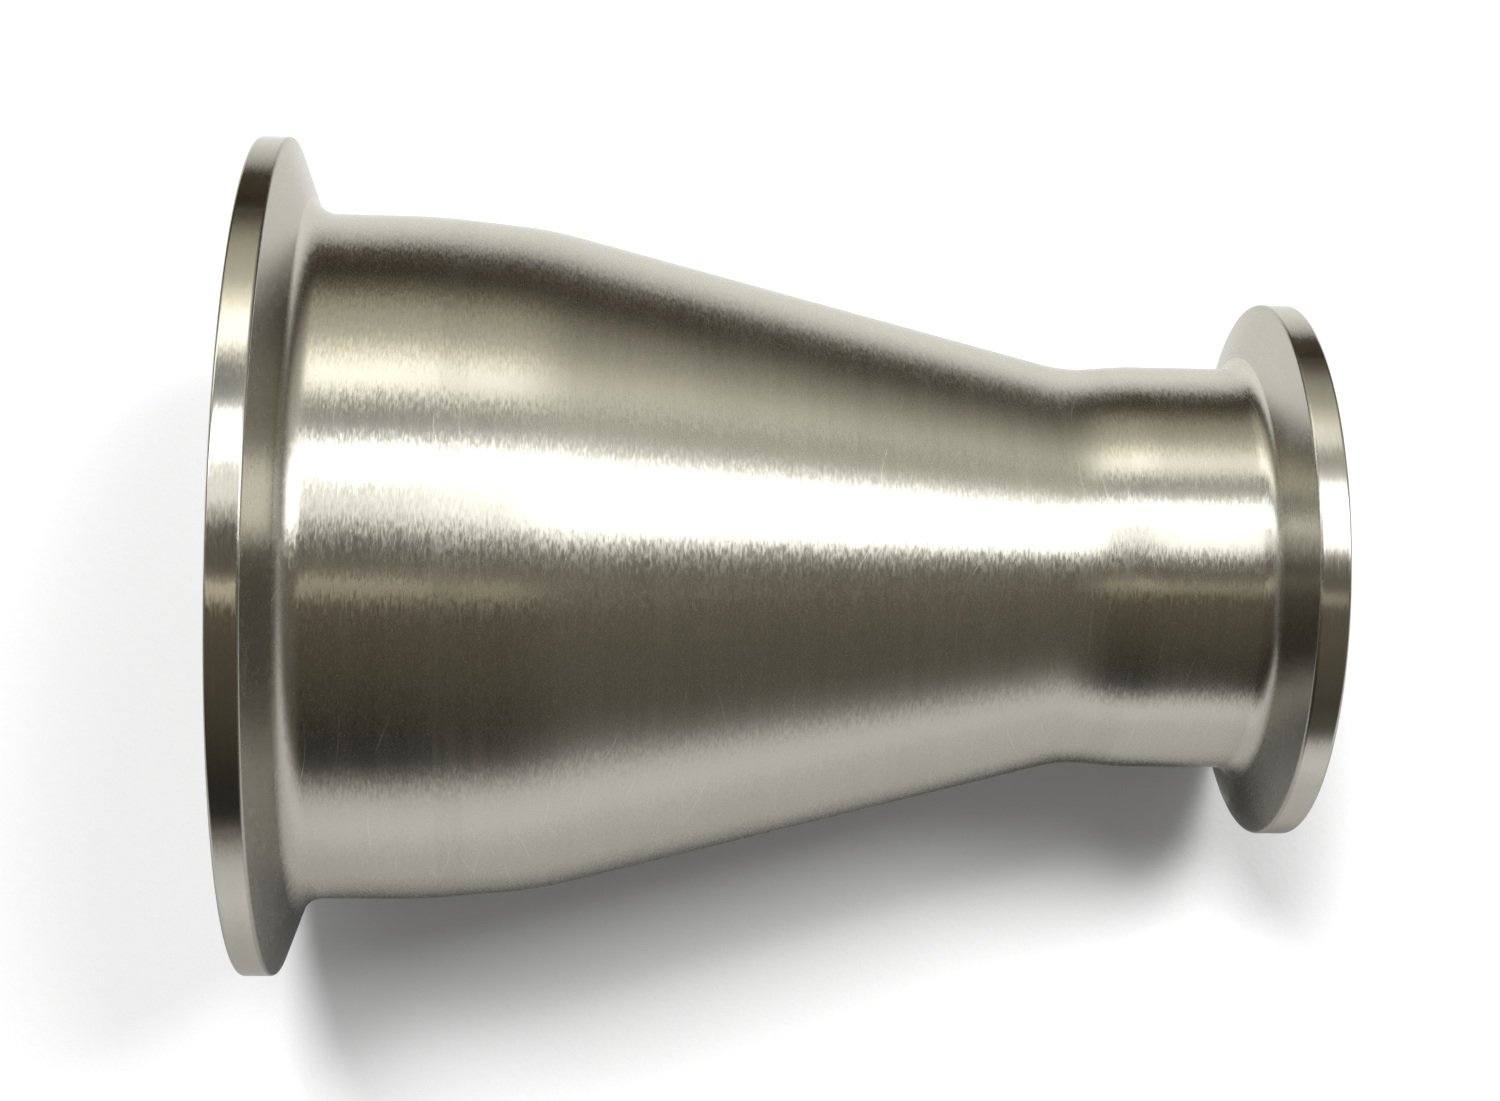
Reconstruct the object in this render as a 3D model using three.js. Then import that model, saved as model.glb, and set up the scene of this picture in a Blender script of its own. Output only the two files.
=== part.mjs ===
// Concentric reducer with hygienic clamp ends, 2 1/2 inch down to 1 1/2 inch.
// The bore runs along Y: the large clamp face looks to -Y and the small one to +Y.
// The origin is on the axis at mid length, and all sizes are in millimetres.
// Outlines are lists of [distance, radius], with distance measured from the large clamp face.
import * as THREE from "three";

// Driving dimensions.
const OVERALL_LENGTH = 97;
const FERRULE_LENGTH = 19; // clamp face to the middle of its weld
const SEAM_WIDTH = 2.4;
const WALL = 1.65;
const LARGE = { flange: 38.75, tube: 31.75, groove: 35.25, fillet: 2.4 };
const SMALL = { flange: 25.25, tube: 19.05, groove: 21.8, fillet: 1.7 };

// Clamp rim, the same section on both ferrules.
const RIM_THICKNESS = 2.85;
const RIM_EDGE_RADIUS = 0.35;
const TAPER_ANGLE = THREE.MathUtils.degToRad(20);
const GROOVE_HALF_WIDTH = 1.6;
const GROOVE_DEPTH = 1.5;

// Outside of the swaged tube: the corners between its straight runs, before they are rounded off.
const LARGE_GRINDING = { at: [16, LARGE.tube], radius: 60 };
const SHOULDER = { at: [26.6, 30.8], radius: 40 };
const NECK = { at: [75.6, 18.55], radius: 14 };
const SMALL_GRINDING = { at: [81, SMALL.tube], radius: 30 };

// Inside of the swaged tube.
const INSIDE_SHOULDER_RADIUS = 40;
const INSIDE_NECK_RADIUS = 20;

// Fineness.
const SIDES = 60;
const ARC_STEPS = 3;
const GROOVE_STEPS = 6;
const LEAST_STEP = 0.3; // shortest run that a cut leaves beside its ends

const STEEL = { color: 0xb9b8b3, metalness: 1 };
const FINISH = {
  brushed: { ...STEEL, roughness: 0.34 },
  turned: { ...STEEL, roughness: 0.22 },
  ground: { ...STEEL, roughness: 0.4 },
};

// Rounds off every corner that has a radius, with an arc tangent to both of its sides.
function roundCorners(corners) {
  return corners.flatMap((corner, index) => {
    if (!corner.radius) return [corner.at];
    const middle = new THREE.Vector2(...corner.at);
    const before = new THREE.Vector2(...corners[index - 1].at).sub(middle).normalize();
    const after = new THREE.Vector2(...corners[index + 1].at).sub(middle).normalize();
    const halfAngle = Math.acos(before.dot(after)) / 2;
    const bisector = before.clone().add(after).normalize();
    const centre = middle.clone().addScaledVector(bisector, corner.radius / Math.sin(halfAngle));
    const start = middle.clone().addScaledVector(before, corner.radius / Math.tan(halfAngle));
    const turn = (Math.PI - 2 * halfAngle) * Math.sign(after.cross(before));
    return Array.from({ length: ARC_STEPS + 1 }, (_, step) =>
      start.clone().rotateAround(centre, (turn * step) / ARC_STEPS).toArray(),
    );
  });
}

// The stretch of an outline between two distances, with a point exactly at each end.
function stretch(outline, from, to) {
  const radiusAt = (distance) => {
    const next = outline.findIndex(([d]) => d >= distance);
    const [d1, r1] = outline[next];
    const [d0, r0] = outline[Math.max(next - 1, 0)];
    return d1 === d0 ? r1 : r0 + ((r1 - r0) * (distance - d0)) / (d1 - d0);
  };
  const between = outline.filter(([d]) => d > from + LEAST_STEP && d < to - LEAST_STEP);
  return [[from, radiusAt(from)], ...between, [to, radiusAt(to)]];
}

function outsideOfTube() {
  return roundCorners([
    { at: [0, LARGE.tube] },
    LARGE_GRINDING,
    SHOULDER,
    NECK,
    SMALL_GRINDING,
    { at: [OVERALL_LENGTH, SMALL.tube] },
  ]);
}

// The inside cone runs parallel to the outside one, a wall thickness away, until it meets each bore.
function insideOfTube() {
  const [shoulderDistance, shoulderRadius] = SHOULDER.at;
  const slope = (shoulderRadius - NECK.at[1]) / (NECK.at[0] - shoulderDistance);
  const wallAcross = WALL * Math.hypot(1, slope);
  const meets = (bore) => shoulderDistance + (shoulderRadius - wallAcross - bore) / slope;
  const largeBore = LARGE.tube - WALL;
  const smallBore = SMALL.tube - WALL;
  return roundCorners([
    { at: [0, largeBore] },
    { at: [meets(largeBore), largeBore], radius: INSIDE_SHOULDER_RADIUS },
    { at: [meets(smallBore), smallBore], radius: INSIDE_NECK_RADIUS },
    { at: [OVERALL_LENGTH, smallBore] },
  ]);
}

const OUTSIDE = outsideOfTube();
const INSIDE = insideOfTube();

// The clamp rim in section, from the gasket groove out over the rim and down the taper to the stub.
// Here the distance is counted from the clamp face.
function rimSection({ flange, tube, groove, fillet }) {
  const taperDepth = (flange - tube) * Math.tan(TAPER_ANGLE);
  const grooveArc = Array.from({ length: GROOVE_STEPS + 1 }, (_, step) => {
    const angle = (Math.PI * step) / GROOVE_STEPS;
    return [GROOVE_DEPTH * Math.sin(angle), groove - GROOVE_HALF_WIDTH * Math.cos(angle)];
  });
  grooveArc[GROOVE_STEPS][0] = 0; // exactly on the face
  const rim = roundCorners([
    { at: grooveArc[GROOVE_STEPS] },
    { at: [0, flange], radius: RIM_EDGE_RADIUS },
    { at: [RIM_THICKNESS, flange], radius: RIM_EDGE_RADIUS },
    { at: [RIM_THICKNESS + taperDepth, tube], radius: fillet },
    { at: [FERRULE_LENGTH, tube] },
  ]);
  return [...grooveArc, ...rim.slice(1, -1)];
}

// Turns a closed outline about the axis. It goes along the outside first and comes back along the bore.
function turned(name, outline, finish) {
  const points = [...outline, outline[0]].map(
    ([distance, radius]) => new THREE.Vector2(radius, distance - OVERALL_LENGTH / 2),
  );
  const material = new THREE.MeshStandardMaterial(finish);
  const mesh = new THREE.Mesh(new THREE.LatheGeometry(points, SIDES), material);
  mesh.name = name;
  return mesh;
}

// A plain length of tube wall between two distances.
function tubeLength(name, from, to, finish) {
  const outside = stretch(OUTSIDE, from, to);
  const inside = stretch(INSIDE, from, to);
  return turned(name, [...outside, ...inside.reverse()], finish);
}

function largeFerrule(end) {
  const rim = rimSection(LARGE);
  const stub = stretch(OUTSIDE, rim.at(-1)[0], end).slice(1);
  const bore = stretch(INSIDE, 0, end);
  return turned("large_ferrule", [...rim, ...stub, ...bore.reverse()], FINISH.turned);
}

function smallFerrule(end) {
  const rim = rimSection(SMALL).map(([distance, radius]) => [OVERALL_LENGTH - distance, radius]);
  const stub = stretch(OUTSIDE, end, rim.at(-1)[0]).slice(0, -1);
  const bore = stretch(INSIDE, end, OVERALL_LENGTH);
  return turned("small_ferrule", [...stub, ...rim.reverse(), ...bore.reverse()], FINISH.turned);
}

const largeSeam = [FERRULE_LENGTH - SEAM_WIDTH / 2, FERRULE_LENGTH + SEAM_WIDTH / 2];
const smallSeam = largeSeam.map((distance) => OVERALL_LENGTH - distance).reverse();

const reducer = new THREE.Group();
reducer.add(
  largeFerrule(largeSeam[0]),
  tubeLength("large_weld_seam", ...largeSeam, FINISH.ground),
  tubeLength("reducer_body", largeSeam[1], smallSeam[0], FINISH.brushed),
  tubeLength("small_weld_seam", ...smallSeam, FINISH.ground),
  smallFerrule(smallSeam[1]),
);

export default reducer;
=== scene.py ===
"""Stainless concentric reducer with hygienic clamp ends, lying on a pale table.

The bore runs along Y, with the large clamp face at the -Y end.
Outlines are in millimetres, with distance measured along the axis from a clamp face.
The brushing, the table, the light and the camera are in metres, unless a comment says otherwise.
"""

import math

import bmesh
import bpy
from mathutils import Matrix, Vector


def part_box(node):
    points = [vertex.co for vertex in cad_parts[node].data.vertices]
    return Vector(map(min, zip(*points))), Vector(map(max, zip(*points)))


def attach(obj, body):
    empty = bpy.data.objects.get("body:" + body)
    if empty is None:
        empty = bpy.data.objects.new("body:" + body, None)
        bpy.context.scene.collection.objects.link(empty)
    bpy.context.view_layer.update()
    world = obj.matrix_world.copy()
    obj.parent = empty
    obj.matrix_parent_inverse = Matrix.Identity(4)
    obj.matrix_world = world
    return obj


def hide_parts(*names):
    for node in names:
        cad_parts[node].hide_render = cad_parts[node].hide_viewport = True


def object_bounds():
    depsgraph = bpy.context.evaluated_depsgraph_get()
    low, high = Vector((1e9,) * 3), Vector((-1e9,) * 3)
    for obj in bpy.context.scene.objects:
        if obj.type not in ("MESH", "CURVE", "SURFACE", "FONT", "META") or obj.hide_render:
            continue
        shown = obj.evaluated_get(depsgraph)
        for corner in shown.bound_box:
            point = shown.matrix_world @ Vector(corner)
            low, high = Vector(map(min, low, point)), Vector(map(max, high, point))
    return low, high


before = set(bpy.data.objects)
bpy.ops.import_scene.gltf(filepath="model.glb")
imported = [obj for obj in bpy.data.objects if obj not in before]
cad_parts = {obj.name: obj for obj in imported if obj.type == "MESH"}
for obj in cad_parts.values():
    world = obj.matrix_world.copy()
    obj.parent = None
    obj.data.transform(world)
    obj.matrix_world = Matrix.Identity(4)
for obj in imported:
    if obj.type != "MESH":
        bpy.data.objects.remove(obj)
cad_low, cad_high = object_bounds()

MM = 0.001

# ---------------------------------------------------------------- sizes, in millimetres

LENGTH = (cad_high.y - cad_low.y) / MM
WALL = 1.65
LARGE = {"rim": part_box("large_ferrule")[1].z / MM, "tube": 31.75, "groove": 35.25, "fillet": 2.4}
SMALL = {"rim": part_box("small_ferrule")[1].z / MM, "tube": 19.05, "groove": 21.8, "fillet": 1.7}

# Clamp rim, the same section on both ferrules.
RIM_THICKNESS = 2.85
RIM_EDGE_ROUNDING = 0.35
TAPER_ANGLE = math.radians(20)
GROOVE_HALF_WIDTH = 1.6
GROOVE_DEPTH = 1.5
GROOVE_LIP_ROUNDING = 0.2
BORE_LIP_ROUNDING = 0.25

# Outside of the swaged tube: its corners as (distance, radius, rounding).
LARGE_GRINDING = (16, LARGE["tube"], 60)
SHOULDER = (26.6, 30.8, 40)
NECK = (75.6, 18.55, 14)
SMALL_GRINDING = (81, SMALL["tube"], 30)

# Inside of the swaged tube.
INSIDE_SHOULDER_ROUNDING = 40
INSIDE_NECK_ROUNDING = 20

# Fineness of the turned surfaces.
SIDES = 256
ARC_STEP = math.radians(7)
LEAST_ARC_STEPS = 6
GROOVE_STEPS = 14
LONGEST_RUN = 1.5
SHORTEST_RUN = 0.05
SHARP_ANGLE = math.radians(40)

# ---------------------------------------------------------------- outlines


def round_corners(corners):
    """Turns (distance, radius, rounding, finish) corners into (distance, radius, finish) points.

    A corner with a rounding becomes an arc tangent to both of its sides.
    A finish holds from its corner to the next one.
    """
    points = []
    for index, (distance, radius, rounding, finish) in enumerate(corners):
        corner = Vector((distance, radius))
        if not rounding:
            points.append((distance, radius, finish))
            continue
        before = (Vector(corners[index - 1][:2]) - corner).normalized()
        after = (Vector(corners[(index + 1) % len(corners)][:2]) - corner).normalized()
        half_angle = before.angle(after) / 2
        centre = corner + (before + after).normalized() * rounding / math.sin(half_angle)
        start = corner + before * rounding / math.tan(half_angle)
        turn = math.copysign(math.pi - 2 * half_angle, after.x * before.y - after.y * before.x)
        steps = max(LEAST_ARC_STEPS, math.ceil(abs(turn) / ARC_STEP))
        for step in range(steps + 1):
            point = centre + Matrix.Rotation(turn * step / steps, 2) @ (start - centre)
            points.append((point.x, point.y, finish))
    return points


def stretch(outline, start, end, finish):
    """The corners of an outline between two distances, with one exactly at each end."""

    def corner_at(distance):
        for (d0, r0, _), (d1, r1, _) in zip(outline, outline[1:]):
            if d0 <= distance <= d1:
                radius = r0 + (r1 - r0) * (distance - d0) / (d1 - d0)
                return (distance, radius, 0, finish)
        raise ValueError(f"distance {distance} is off the outline")

    inner = [(d, r, 0, finish) for d, r, _ in outline if start + SHORTEST_RUN < d < end - SHORTEST_RUN]
    return [corner_at(start), *inner, corner_at(end)]


def split_runs(points):
    """Adds points to a closed outline so that no run is longer than LONGEST_RUN."""
    split = []
    for a, b in zip(points, [*points[1:], points[0]]):
        parts = max(1, math.ceil(math.dist(a[:2], b[:2]) / LONGEST_RUN))
        for part in range(parts):
            point = Vector(a[:2]).lerp(Vector(b[:2]), part / parts)
            split.append((point.x, point.y, a[2]))
    return split


def outside_of_tube():
    large_end = (0, LARGE["tube"], 0)
    small_end = (LENGTH, SMALL["tube"], 0)
    corners = [large_end, LARGE_GRINDING, SHOULDER, NECK, SMALL_GRINDING, small_end]
    return round_corners([(*corner, "tube") for corner in corners])


def inside_of_tube():
    """The inside cone is parallel to the outside one, a wall thickness away, until it meets each bore."""
    slope = (SHOULDER[1] - NECK[1]) / (NECK[0] - SHOULDER[0])
    wall_across = WALL * math.hypot(1, slope)
    large_bore = LARGE["tube"] - WALL
    small_bore = SMALL["tube"] - WALL

    def meets(bore):
        return SHOULDER[0] + (SHOULDER[1] - wall_across - bore) / slope

    corners = [
        (0, large_bore, 0),
        (meets(large_bore), large_bore, INSIDE_SHOULDER_ROUNDING),
        (meets(small_bore), small_bore, INSIDE_NECK_ROUNDING),
        (LENGTH, small_bore, 0),
    ]
    return round_corners([(*corner, "bore") for corner in corners])


OUTSIDE = outside_of_tube()
INSIDE = inside_of_tube()


def from_small_end(outline):
    return [(LENGTH - distance, radius, finish) for distance, radius, finish in reversed(outline)]


def ferrule_outline(size, outside, inside, end):
    """From the bore over the clamp face, the rim and the taper to the stub's end, and back in the bore."""
    taper_end = RIM_THICKNESS + (size["rim"] - size["tube"]) * math.tan(TAPER_ANGLE)
    groove = [
        (GROOVE_DEPTH * math.sin(angle), size["groove"] - GROOVE_HALF_WIDTH * math.cos(angle), 0, "face")
        for angle in (math.pi * step / GROOVE_STEPS for step in range(1, GROOVE_STEPS))
    ]
    stub = stretch(outside, taper_end + size["fillet"], end, "stub")
    bore = stretch(inside, 0, end, "bore")
    return round_corners(
        [
            (0, size["groove"] - GROOVE_HALF_WIDTH, GROOVE_LIP_ROUNDING, "face"),
            *groove,
            (0, size["groove"] + GROOVE_HALF_WIDTH, GROOVE_LIP_ROUNDING, "face"),
            (0, size["rim"], RIM_EDGE_ROUNDING, "rim"),
            (RIM_THICKNESS, size["rim"], RIM_EDGE_ROUNDING, "taper"),
            (taper_end, size["tube"], size["fillet"], "stub"),
            *stub,
            *bore[:0:-1],
            (0, size["tube"] - WALL, BORE_LIP_ROUNDING, "face"),
        ]
    )


def tube_outline(start, end, finish):
    outside = stretch(OUTSIDE, start, end, finish)
    inside = stretch(INSIDE, start, end, "bore")
    return round_corners([*outside, *inside[::-1]])


# ---------------------------------------------------------------- turned pieces


def turned_piece(name, node, outline, at_small_end=False):
    """Turns a closed outline about the axis.

    Its distances are counted from the large clamp face, or from the small one if it is at_small_end.
    """
    outline = split_runs(outline)
    middle = LENGTH / 2
    rows = [(middle - d if at_small_end else d - middle, r) for d, r, _ in outline]
    angles = [2 * math.pi * side / SIDES for side in range(SIDES)]
    vertices = [(r * math.sin(a) * MM, y * MM, r * math.cos(a) * MM) for y, r in rows for a in angles]
    finishes = list(dict.fromkeys(finish for _, _, finish in outline))
    faces = []
    face_finishes = []
    for row, (_, _, finish) in enumerate(outline):
        following = (row + 1) % len(outline)
        for side in range(SIDES):
            beside = (side + 1) % SIDES
            corners = [(row, side), (row, beside), (following, beside), (following, side)]
            faces.append([r * SIDES + s for r, s in corners])
            face_finishes.append(finishes.index(finish))

    mesh = bpy.data.meshes.new(name)
    mesh.from_pydata(vertices, [], faces)
    for finish in finishes:
        mesh.materials.append(FINISHES[finish])
    mesh.polygons.foreach_set("material_index", face_finishes)
    shell = bmesh.new()
    shell.from_mesh(mesh)
    bmesh.ops.recalc_face_normals(shell, faces=shell.faces)
    shell.to_mesh(mesh)
    shell.free()
    mesh.shade_smooth()
    mesh.set_sharp_from_angle(angle=SHARP_ANGLE)

    piece = bpy.data.objects.new(name, mesh)
    bpy.context.scene.collection.objects.link(piece)
    weighted = piece.modifiers.new("flat runs stay flat", "WEIGHTED_NORMAL")
    weighted.keep_sharp = True
    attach(piece, "root")
    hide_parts(node)


# ---------------------------------------------------------------- node helpers


def empty_tree(owner):
    """The node tree of a material or world, with nothing in it."""
    owner.use_nodes = True
    owner.node_tree.nodes.clear()
    return owner.node_tree


def add(tree, kind, inputs=None, **settings):
    """Adds a node, applies its settings, and sets or links its inputs by name or number."""
    node = tree.nodes.new(kind)
    for key, value in settings.items():
        setattr(node, key, value)
    for key, value in (inputs or {}).items():
        if isinstance(value, bpy.types.NodeSocket):
            tree.links.new(value, node.inputs[key])
        else:
            node.inputs[key].default_value = value
    return node


def axes(tree, vector):
    """The X, Y and Z of a vector."""
    return add(tree, "ShaderNodeSeparateXYZ", {0: vector}).outputs[:]


def maths(tree, operation, *values):
    node = add(tree, "ShaderNodeMath", dict(enumerate(values)), operation=operation)
    return node.outputs[0]


def vector_maths(tree, operation, *values):
    node = add(tree, "ShaderNodeVectorMath", dict(enumerate(values)), operation=operation)
    return node.outputs["Value" if operation == "DOT_PRODUCT" else "Vector"]


def weighted_sum(tree, *pairs):
    """The sum of each (value, weight) pair."""
    total = maths(tree, "MULTIPLY", *pairs[0])
    for value, weight in pairs[1:]:
        total = maths(tree, "MULTIPLY_ADD", value, weight, total)
    return total


def remap(tree, value, low, high, new_low=0.0, new_high=1.0, smooth=False):
    """Maps low..high onto new_low..new_high and clamps it there."""
    inputs = {"Value": value, "From Min": low, "From Max": high, "To Min": new_low, "To Max": new_high}
    kind = "SMOOTHSTEP" if smooth else "LINEAR"
    return add(tree, "ShaderNodeMapRange", inputs, interpolation_type=kind).outputs[0]


def noise(tree, vector, scale, detail=2.0, roughness=0.5):
    inputs = {"Vector": vector, "Scale": scale, "Detail": detail, "Roughness": roughness}
    return add(tree, "ShaderNodeTexNoise", inputs).outputs["Fac"]


def mix_colours(tree, factor, first, second):
    node = tree.nodes.new("ShaderNodeMix")
    node.data_type = "RGBA"
    # A mix node repeats its socket names for each type, so its sockets go by number here.
    for number, value in {0: factor, 6: first, 7: second}.items():
        if isinstance(value, bpy.types.NodeSocket):
            tree.links.new(value, node.inputs[number])
        else:
            node.inputs[number].default_value = value
    return node.outputs[2]


# ---------------------------------------------------------------- steel

STEEL_COLOUR = (0.55, 0.535, 0.475)
EDGE_TINT = (0.7, 0.69, 0.66, 1)
QUARTER_TURN = 0.25  # turns the anisotropy so that mirror images stretch across the grain

# The brushing: short streaks, long fine lines, low waves and smudges, all as densities per metre.
STREAKS = {"across": 5600, "along": 1400, "detail": 1}
LINES = {"across": 1100, "along": 60, "detail": 2}
WAVE_DENSITY = 45
SMUDGE_DENSITY = 70
RADIAL_SHARE = 0.7  # makes the grain run in rings on faces that are square to the axis
GRAININESS = 0.6  # how much of its finest detail a noise shows

# How far streaks, lines and smudges vary the roughness and the lightness.
ROUGHNESS_SHARES = (0.12, 0.06, 0.07)
LIGHTNESS_SHARES = (0.12, 0.10, 0.10)

# Scratches: leaning rings, bent by noise and broken up into short lengths and patches.
SCRATCH_SETS = ({"lean": (0.22, 0.08), "shift": 0}, {"lean": (-0.16, 0.14), "shift": 17})
SCRATCH_SPACING = 0.003
WAVE_TEXTURE_RATE = 20  # radians that a wave texture of scale 1 advances per metre
SCRATCH_BEND = {"Distortion": 9.0, "Detail": 1.0, "Detail Scale": 0.6}
SCRATCH_CREST = (0.9984, 0.9999)  # the part of each wave that makes a line
SCRATCH_LENGTHS = {"density": 150, "detail": 1, "kept": (0.55, 0.64)}
SCRATCH_PATCHES = {"density": 34, "detail": 0, "kept": (0.48, 0.60)}
SCRATCH_DEPTH = 0.003  # millimetres
SCRATCH_ROUGHNESS = 0.1
SCRATCH_LIGHTNESS = 0.28


def grain(tree, x, across, z, layer):
    """Noise that changes fast across the grain and slowly along it."""
    scaled = (
        maths(tree, "MULTIPLY", x, layer["along"]),
        maths(tree, "MULTIPLY", across, layer["across"]),
        maths(tree, "MULTIPLY", z, layer["along"]),
    )
    space = add(tree, "ShaderNodeCombineXYZ", dict(enumerate(scaled))).outputs[0]
    return noise(tree, space, 1, layer["detail"], GRAININESS)


def hairlines(tree, position, lean, shift):
    """Thin curved scratches. lean tilts them along X and Z, and shift changes where they break."""
    x, y, z = axes(tree, position)
    tilted = weighted_sum(tree, (y, 1.0), (x, lean[0]), (z, lean[1]))
    space = add(tree, "ShaderNodeCombineXYZ", {0: x, 1: tilted, 2: z}).outputs[0]
    scale = 2 * math.pi / (WAVE_TEXTURE_RATE * SCRATCH_SPACING)
    inputs = {"Vector": space, "Scale": scale, **SCRATCH_BEND}
    wave = add(tree, "ShaderNodeTexWave", inputs, bands_direction="Y").outputs["Fac"]
    shown = remap(tree, wave, *SCRATCH_CREST)
    for breaks in (SCRATCH_LENGTHS, SCRATCH_PATCHES):
        spots = noise(tree, position, breaks["density"] + shift, breaks["detail"])
        shown = maths(tree, "MULTIPLY", shown, remap(tree, spots, *breaks["kept"]))
    return shown


def varied(tree, middle, layers, shares, scratches, scratch_share):
    """A value that each noise layer swings about its middle by its share, and that scratches add to."""
    total = weighted_sum(tree, *zip(layers, shares), (scratches, scratch_share))
    return maths(tree, "ADD", total, middle - sum(shares) / 2)


def steel(name, roughness, anisotropy, ragged=0.09, line=0.004, wave=0.03, scratched=1.0, tone_and_shade=1.0):
    """Stainless steel with its grain running round the axis.

    ragged is how far each streak leans its mirror image round the axis.
    line and wave are the depths of the fine lines and of the low waves, in millimetres.
    scratched is how much the scratches show, and a tone_and_shade below 1 darkens the steel's colour: a
    little on the ground weld, and on the turned taper as painted shade.
    """
    material = bpy.data.materials.new(name)
    tree = empty_tree(material)
    position = add(tree, "ShaderNodeTexCoord").outputs["Object"]
    x, y, z = axes(tree, position)
    radial = maths(tree, "SQRT", weighted_sum(tree, (x, x), (z, z)))
    across = weighted_sum(tree, (y, 1.0), (radial, RADIAL_SHARE))
    streaks = grain(tree, x, across, z, STREAKS)
    lines = grain(tree, x, across, z, LINES)
    waves = noise(tree, position, WAVE_DENSITY, 1)
    smudges = noise(tree, position, SMUDGE_DENSITY, 3, GRAININESS)
    scratches = maths(tree, "MAXIMUM", *(hairlines(tree, position, **each) for each in SCRATCH_SETS))

    around = add(tree, "ShaderNodeTangent", direction_type="RADIAL", axis="Y").outputs[0]
    facing = add(tree, "ShaderNodeNewGeometry").outputs["Normal"]
    lean = maths(tree, "MULTIPLY_ADD", streaks, ragged, -ragged / 2)
    leaning = vector_maths(tree, "MULTIPLY_ADD", around, lean, facing)
    height = weighted_sum(tree, (lines, line), (waves, wave), (scratches, -SCRATCH_DEPTH * scratched))
    inputs = {"Height": height, "Distance": MM, "Strength": 1.0, "Normal": leaning}
    bump = add(tree, "ShaderNodeBump", inputs).outputs[0]

    layers = (streaks, lines, smudges)
    rough = varied(tree, roughness, layers, ROUGHNESS_SHARES, scratches, SCRATCH_ROUGHNESS * scratched)
    light = varied(tree, 1, layers, LIGHTNESS_SHARES, scratches, SCRATCH_LIGHTNESS * scratched)
    inputs = {
        "Base Color": vector_maths(tree, "MULTIPLY", [c * tone_and_shade for c in STEEL_COLOUR], light),
        "Metallic": 1.0,
        "Specular Tint": EDGE_TINT,
        "Roughness": rough,
        "Anisotropic": anisotropy,
        "Anisotropic Rotation": QUARTER_TURN,
        "Normal": bump,
        "Tangent": around,
    }
    shader = add(tree, "ShaderNodeBsdfPrincipled", inputs)
    add(tree, "ShaderNodeOutputMaterial", {"Surface": shader.outputs[0]})
    return material


FINISHES = {
    "tube": steel("brushed tube", 0.27, 0.82),
    "stub": steel("brushed stub", 0.26, 0.82),
    "weld": steel("ground weld", 0.28, 0.8, ragged=0.11, wave=0.05, tone_and_shade=0.97),
    "rim": steel("polished rim", 0.16, 0.6, ragged=0.04, line=0.002, scratched=0.6),
    # painted shade: the taper's colour is darkened to 0.8 to stand in for the darker light that its back
    # face mirrors
    "taper": steel("turned taper", 0.25, 0.75, ragged=0.08, scratched=0.2, tone_and_shade=0.8),
    "face": steel("turned clamp face", 0.2, 0.7, ragged=0.08, scratched=0.5),
    "bore": steel("polished bore", 0.2, 0.7, ragged=0.08, scratched=0.3),
}

# ---------------------------------------------------------------- the reducer

large_seam = [(corner.y - cad_low.y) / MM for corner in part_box("large_weld_seam")]
small_seam = [(corner.y - cad_low.y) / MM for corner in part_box("small_weld_seam")]

turned_piece(
    "large_ferrule_turned",
    "large_ferrule",
    ferrule_outline(LARGE, OUTSIDE, INSIDE, large_seam[0]),
)
turned_piece("large_weld_bead", "large_weld_seam", tube_outline(*large_seam, "weld"))
turned_piece(
    "reducer_tube",
    "reducer_body",
    tube_outline(large_seam[1], small_seam[0], "tube"),
)
turned_piece("small_weld_bead", "small_weld_seam", tube_outline(*small_seam, "weld"))
turned_piece(
    "small_ferrule_turned",
    "small_ferrule",
    ferrule_outline(SMALL, from_small_end(OUTSIDE), from_small_end(INSIDE), LENGTH - small_seam[1]),
    at_small_end=True,
)

# ---------------------------------------------------------------- table

# Sheets as (low, high) ranges in the table's own plane.
# X goes from the far side to the viewer's side, and Y along the reducer.
TABLE_GAP = 0.02 * MM
TABLE_X = (-0.6, 0.6)
TABLE_Y = (-0.7, 0.33)
# Sheets of painted shade in the steel's reflections, just above the table.
SHADE_SHEET_START = 0.02
SHADE_SHEET_REACH = 30
SHADE_SHEET_HEIGHT = 0.0005

PAPER_SHADE = 0.8
PAPER_CLOUDS = 0.03  # how far the shade wanders
CLOUD_DENSITY = 12
FIBRE_DENSITY = 900
FIBRE_HEIGHT = 0.05 * MM

# What the sheets of painted shade let the steel mirror of the table, as (from, to, share at from, share at
# to).
BESIDE_REDUCER = (0.07, 0.15, 0.56, 0.75)
TOWARDS_HORIZON = (0.35, 1.5, 1.0, 0.35)
# The far sheet paints a dark brown edge into the steel's reflection of the table, reaching nearer the
# reducer towards +Y.
FAR_EDGE = (-0.188, -0.075)
FAR_EDGE_SLANT = 0.24
PAINTED_FAR_EDGE_BROWN = (0.06, 0.048, 0.034, 1)
WHITE = (1, 1, 1, 1)


def table_matrix():
    """The plane that touches both rims from below.

    Its origin is under the part's middle, and its Z is its normal.
    """
    large_touch = Vector((0, cad_low.y + (RIM_THICKNESS - RIM_EDGE_ROUNDING) * MM, -LARGE["rim"] * MM))
    small_touch = Vector((0, cad_high.y - RIM_EDGE_ROUNDING * MM, -SMALL["rim"] * MM))
    along = (small_touch - large_touch).normalized()
    normal = Vector((1, 0, 0)).cross(along)
    share = -large_touch.y / (small_touch.y - large_touch.y)
    origin = large_touch.lerp(small_touch, share) - normal * TABLE_GAP
    turn = Matrix((Vector((1, 0, 0)), along, normal)).transposed()
    return Matrix.Translation(origin) @ turn.to_4x4()


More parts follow.
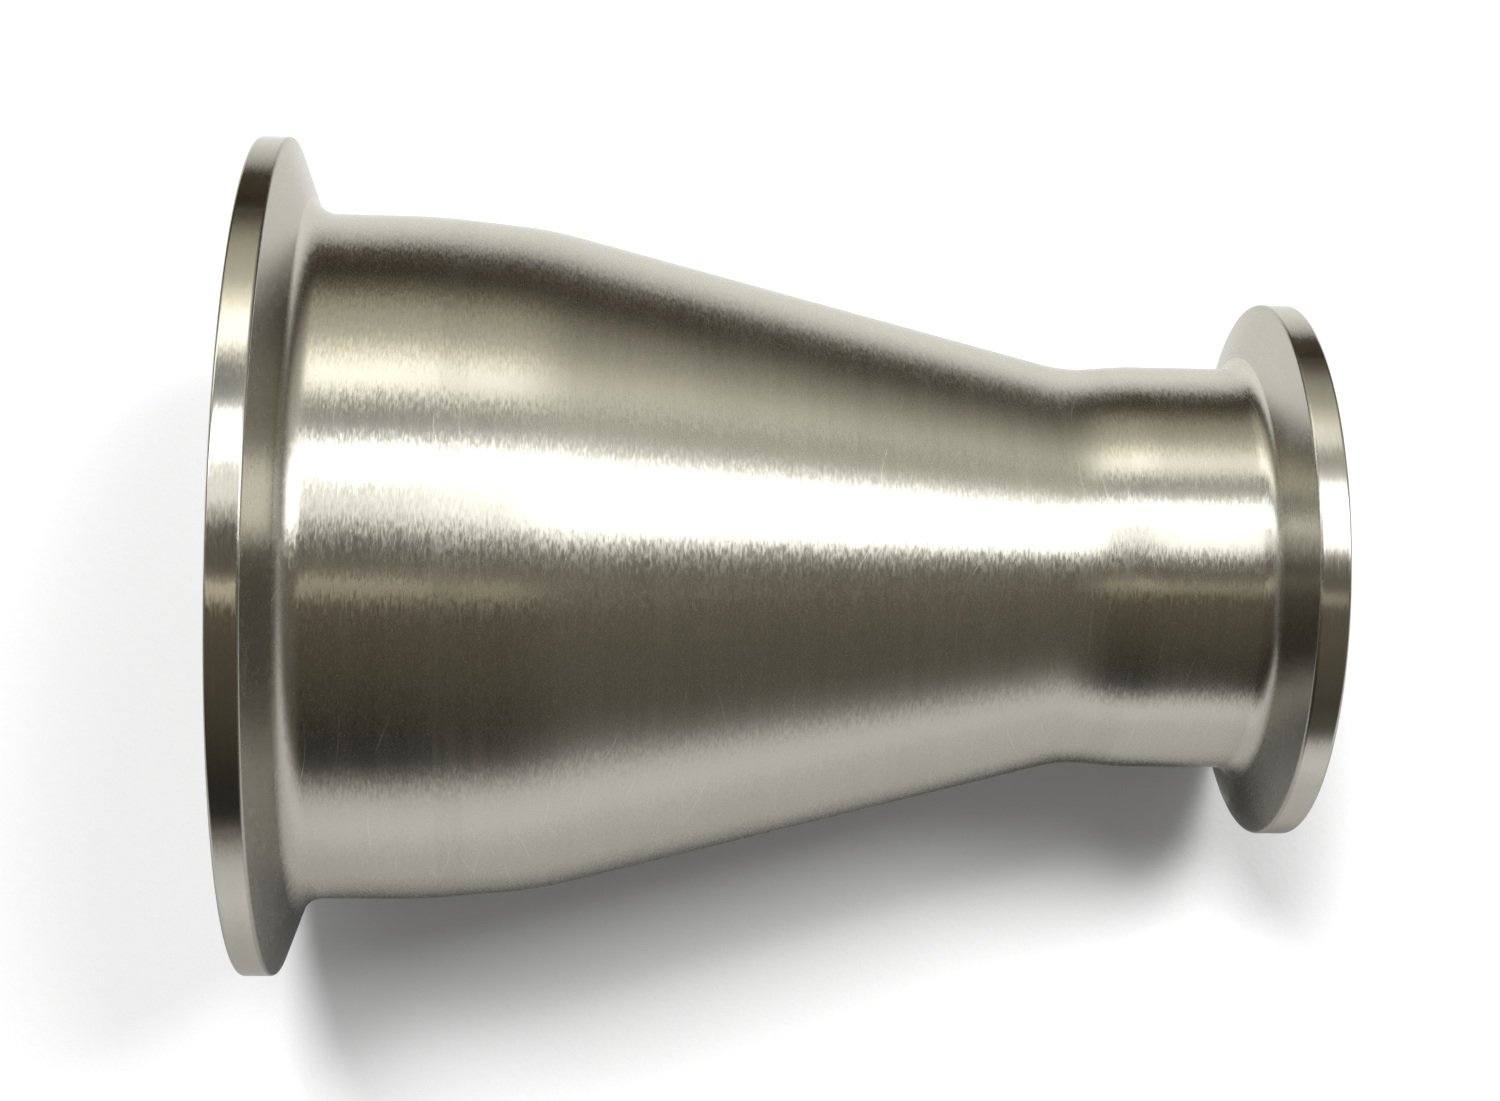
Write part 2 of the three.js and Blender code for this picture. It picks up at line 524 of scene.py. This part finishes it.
def sheet(name, x_range, y_range, height, material):
    """A flat rectangle in the table's own coordinates."""
    x_low, x_high = x_range
    y_low, y_high = y_range
    corners = [(x_low, y_low), (x_high, y_low), (x_high, y_high), (x_low, y_high)]
    mesh = bpy.data.meshes.new(name)
    mesh.from_pydata([(x, y, height) for x, y in corners], [], [range(len(corners))])
    mesh.materials.append(material)
    made = bpy.data.objects.new(name, mesh)
    bpy.context.scene.collection.objects.link(made)
    made.matrix_world = table_matrix()
    return made


def paper():
    material = bpy.data.materials.new("matt paper")
    tree = empty_tree(material)
    position = add(tree, "ShaderNodeTexCoord").outputs["Object"]
    fibres = noise(tree, position, FIBRE_DENSITY, 3, GRAININESS)
    clouds = noise(tree, position, CLOUD_DENSITY)
    tint = maths(tree, "MULTIPLY_ADD", clouds, PAPER_CLOUDS, PAPER_SHADE)
    inputs = {"Height": fibres, "Distance": FIBRE_HEIGHT, "Strength": 1.0}
    bump = add(tree, "ShaderNodeBump", inputs).outputs[0]
    inputs = {"Base Color": tint, "Roughness": 0.9, "Specular IOR Level": 0.2, "Normal": bump}
    shader = add(tree, "ShaderNodeBsdfPrincipled", inputs)
    add(tree, "ShaderNodeOutputMaterial", {"Surface": shader.outputs[0]})
    return material


def near_side(tree, place):
    """Painted shade in the steel's reflection of the table: dims it most beside the reducer and towards
    the horizon.
    """
    x, _, _ = axes(tree, place)
    beside = remap(tree, x, *BESIDE_REDUCER, smooth=True)
    return maths(tree, "MULTIPLY", beside, remap(tree, x, *TOWARDS_HORIZON))


def far_side(tree, place):
    """A painted reflection: fades the table that the steel mirrors to a dark brown edge that runs slightly
    askew, which the camera doesn't see.
    """
    x, y, _ = axes(tree, place)
    reach = weighted_sum(tree, (x, 1.0), (y, -FAR_EDGE_SLANT))
    return mix_colours(tree, remap(tree, reach, *FAR_EDGE), PAINTED_FAR_EDGE_BROWN, WHITE)


def mirrored_shade_sheet(name, x_range, passing):
    """A clear sheet just above the table, seen only in the steel's reflections, which paints shade and a
    dark edge into what the steel mirrors of it.

    passing makes the share of light that it lets through, from the tree and the place on the sheet.
    """
    material = bpy.data.materials.new(name)
    tree = empty_tree(material)
    place = add(tree, "ShaderNodeTexCoord").outputs["Object"]
    shader = add(tree, "ShaderNodeBsdfTransparent", {"Color": passing(tree, place)})
    add(tree, "ShaderNodeOutputMaterial", {"Surface": shader.outputs[0]})
    card = sheet(name, x_range, (-SHADE_SHEET_REACH, SHADE_SHEET_REACH), SHADE_SHEET_HEIGHT, material)
    card.visible_camera = False
    card.visible_diffuse = False
    card.visible_shadow = False


sheet("table_top", TABLE_X, TABLE_Y, 0, paper())
# Two sheets of painted shade and painted reflection, which only the steel's reflections see.
mirrored_shade_sheet("near_side_painted_shade", (SHADE_SHEET_START, SHADE_SHEET_REACH), near_side)
mirrored_shade_sheet("far_side_painted_reflection", (-SHADE_SHEET_REACH, -SHADE_SHEET_START), far_side)

# ---------------------------------------------------------------- light

SOFTBOX_SIZE = (0.3, 0.35)
SOFTBOXES = {  # place, and power in watts
    "left_softbox": ((-0.29, -0.17, 0.93), 8.6),
    "right_softbox": ((-0.17, 0.36, 0.90), 5.6),
}

# Ranges of the light and of the room go by the X, the Y or the height above the table of a direction.
# Those of brightness are (from, to, brightness at from, brightness at to).
FILL = (0.35, -0.35, 0.24, 0.48)  # even light on the table, darker from the viewer's side

# The room that the steel mirrors.
ROOM_BRIGHTEST = 3.0
ROOM_GAIN = 1.12  # brightens all of it together
CAMERA_ROLL = 13  # degrees from +Z to the camera, about the axis
ROOM_TURN = 2.8  # degrees that the bands turn from beside the reducer to ahead of it
TURNING = (0.0, 0.23)
BESIDE_TO_AHEAD = (0.14, 0.36)
BANDS_TO_END_WALL = (0.80, 0.93)
END_WALL = (0.1, 1.0, 0.14, 0.5)
HORIZON = (0.01, -0.01)
BELOW_HORIZON = (0.72, 0.71, 0.67)

# Its bands, by angle about the axis from the camera's side, in degrees, positive towards +X.
ROOM_BESIDE = [
    (-103, (0.06, 0.05, 0.035)),
    (-98.5, (0.18, 0.16, 0.12)),
    (-90, (0.48, 0.46, 0.37)),
    (-76, (0.70, 0.68, 0.57)),
    (-68.5, (1.5, 1.42, 1.2)),
    (-64.5, (2.0, 1.98, 1.85)),
    (-57.5, (2.0, 1.98, 1.85)),
    (-52.5, (0.65, 0.63, 0.56)),
    (-48.5, (0.32, 0.32, 0.31)),
    (-39.5, (0.36, 0.37, 0.37)),
    (-35.5, (3, 3, 3)),
    (-26, (3, 3, 3)),
    (-23, (1.05, 1.05, 1.0)),
    (-13.5, (1.2, 1.2, 1.15)),
    (-10, (0.5, 0.49, 0.46)),
    (-6.5, (0.14, 0.125, 0.10)),
    (6.5, (0.12, 0.11, 0.09)),
    (8.5, (0.78, 0.72, 0.57)),
    (11, (0.76, 0.70, 0.56)),
    (13.5, (0.12, 0.10, 0.075)),
    (40, (0.08, 0.07, 0.05)),
    (62, (0.03, 0.028, 0.025)),
    (73, (0.025, 0.023, 0.02)),
    (77, (0.12, 0.115, 0.1)),
]
ROOM_AHEAD = [
    (-106, (0.05, 0.04, 0.03)),
    (-100, (0.08, 0.07, 0.055)),
    (-94, (0.16, 0.148, 0.125)),
    (-87, (0.29, 0.275, 0.235)),
    (-79, (0.41, 0.395, 0.34)),
    (-71, (0.49, 0.48, 0.41)),
    (-53, (0.52, 0.51, 0.44)),
    (-48, (0.60, 0.585, 0.52)),
    (-42, (1.0, 0.97, 0.9)),
    (-37.5, (3, 3, 3)),
    (-12.5, (3, 3, 3)),
    (-9, (0.7, 0.68, 0.64)),
    (-5, (0.28, 0.26, 0.22)),
    (2, (0.16, 0.145, 0.115)),
    (27, (0.14, 0.125, 0.10)),
    (57, (0.10, 0.09, 0.07)),
    (74, (0.16, 0.155, 0.14)),
]


def share_of_brightest(colour):
    return (*(c / ROOM_BRIGHTEST for c in colour), 1)


def room_ramp(tree, angle, bands):
    first, last = bands[0][0], bands[-1][0]
    ramp = add(tree, "ShaderNodeValToRGB", {0: remap(tree, angle, first, last)})
    stops = ramp.color_ramp.elements
    for degrees, _ in bands[1:-1]:
        stops.new((degrees - first) / (last - first))
    for stop, (_, colour) in zip(stops, bands):
        stop.color = share_of_brightest(colour)
    return ramp.outputs[0]


def mirrored_room(tree, direction):
    """The room's colour in each direction, as a share of ROOM_BRIGHTEST."""
    x, y, z = axes(tree, direction)
    radians = maths(tree, "ARCTAN2", x, z)
    turn = remap(tree, y, *TURNING, CAMERA_ROLL, CAMERA_ROLL + ROOM_TURN)
    angle = maths(tree, "SUBTRACT", maths(tree, "DEGREES", radians), turn)
    ahead = remap(tree, y, *BESIDE_TO_AHEAD, smooth=True)
    beside_bands = room_ramp(tree, angle, ROOM_BESIDE)
    ahead_bands = room_ramp(tree, angle, ROOM_AHEAD)
    bands = mix_colours(tree, ahead, beside_bands, ahead_bands)

    table_normal = table_matrix().to_3x3() @ Vector((0, 0, 1))
    above = vector_maths(tree, "DOT_PRODUCT", direction, table_normal)
    low, high, dim, bright = END_WALL
    end_wall = remap(tree, above, low, high, dim / ROOM_BRIGHTEST, bright / ROOM_BRIGHTEST)
    at_ends = remap(tree, maths(tree, "ABSOLUTE", y), *BANDS_TO_END_WALL, smooth=True)
    walls = mix_colours(tree, at_ends, bands, end_wall)
    below = remap(tree, above, *HORIZON)
    return mix_colours(tree, below, walls, share_of_brightest(BELOW_HORIZON))


def room():
    """The world: white behind the table, even light on it, and the room where the steel mirrors it."""
    world = bpy.data.worlds.new("studio room")
    bpy.context.scene.world = world
    world.cycles.sampling_method = "NONE"
    tree = empty_tree(world)

    def background(colour, strength):
        inputs = {"Color": colour, "Strength": strength}
        return add(tree, "ShaderNodeBackground", inputs).outputs[0]

    def mix(factor, first, second):
        return add(tree, "ShaderNodeMixShader", {0: factor, 1: first, 2: second}).outputs[0]

    direction = add(tree, "ShaderNodeTexCoord").outputs["Generated"]
    x, _, _ = axes(tree, direction)
    fill = background(WHITE, remap(tree, x, *FILL, smooth=True))
    backdrop = background(WHITE, 1.0)
    mirrored = background(mirrored_room(tree, direction), ROOM_BRIGHTEST * ROOM_GAIN)
    rays = add(tree, "ShaderNodeLightPath").outputs
    before_table = maths(tree, "LESS_THAN", rays["Diffuse Depth"], 0.5)
    in_steel = maths(tree, "MULTIPLY", rays["Is Glossy Ray"], before_table)
    surroundings = mix(in_steel, mix(rays["Is Camera Ray"], fill, backdrop), mirrored)
    add(tree, "ShaderNodeOutputWorld", {"Surface": surroundings})


def softbox(name, place, watts):
    """A rectangular lamp that faces the reducer and isn't mirrored in it."""
    lamp = bpy.data.lights.new(name, "AREA")
    lamp.energy = watts
    lamp.shape = "RECTANGLE"
    lamp.size, lamp.size_y = SOFTBOX_SIZE
    box = bpy.data.objects.new(name, lamp)
    bpy.context.scene.collection.objects.link(box)
    box.location = place
    box.rotation_mode = "QUATERNION"
    box.rotation_quaternion = Vector(place).to_track_quat("Z", "Y")
    box.visible_glossy = False
    box.visible_camera = False


room()
for name, (place, watts) in SOFTBOXES.items():
    softbox(name, place, watts)

# ---------------------------------------------------------------- camera

CAMERA_PLACE = Vector((0.05877, -0.01912, 0.25456))
CAMERA_BACK = Vector((0.2646, -0.0805, 0.9610)).normalized()
CAMERA_UP = Vector((-0.9643, -0.0181, 0.2640))
FOCAL_LENGTH = 66.3  # millimetres
SENSOR_WIDTH = 36  # millimetres
CAMERA_SHIFT = (-0.0328, -0.0696)
NEAREST_SEEN = 0.01


def camera():
    lens = bpy.data.cameras.new("camera")
    lens.lens = FOCAL_LENGTH
    lens.sensor_width = SENSOR_WIDTH
    lens.shift_x, lens.shift_y = CAMERA_SHIFT
    lens.clip_start = NEAREST_SEEN
    made = bpy.data.objects.new("camera", lens)
    bpy.context.scene.collection.objects.link(made)
    right = CAMERA_UP.cross(CAMERA_BACK).normalized()
    up = CAMERA_BACK.cross(right)
    turn = Matrix((right, up, CAMERA_BACK)).transposed()
    made.matrix_world = Matrix.Translation(CAMERA_PLACE) @ turn.to_4x4()
    bpy.context.scene.camera = made


camera()
bpy.context.scene.view_settings.view_transform = "Standard"
